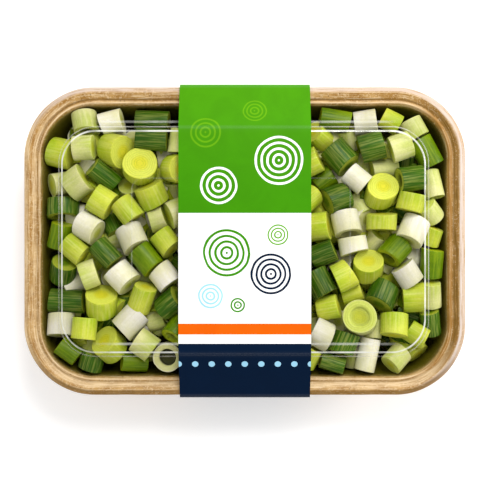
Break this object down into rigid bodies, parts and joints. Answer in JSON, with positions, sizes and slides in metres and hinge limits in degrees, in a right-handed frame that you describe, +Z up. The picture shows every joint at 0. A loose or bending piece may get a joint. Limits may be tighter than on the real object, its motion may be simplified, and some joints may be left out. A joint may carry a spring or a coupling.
{
  "type": "packed tray of cut leeks",
  "caption": "Oblong moulded-fibre food tray filled with short leek rounds, under a clear domed lid, held by a printed board sleeve round its middle.",
  "frame": {"origin": "middle of the underside, where the sleeve rests on the surface", "axes": "+X along the tray's length, +Y across it towards the upper edge of the pictured side, +Z up"},
  "size_m": [0.225, 0.1594, 0.0516],
  "materials": {
    "moulded_fibre": "matt pressed plant fibre, with a smoother rim",
    "clear_film": "clear glossy thermoformed plastic",
    "printed_board": "coated board with a satin print",
    "cut_leek": "fresh cut leek, moist and slightly waxy"
  },
  "bodies": {
    "root": {"tray": "moulded_fibre", "lid": "clear_film", "sleeve": "printed_board", "cut_leeks": "cut_leek"}
  },
  "joints": []
}
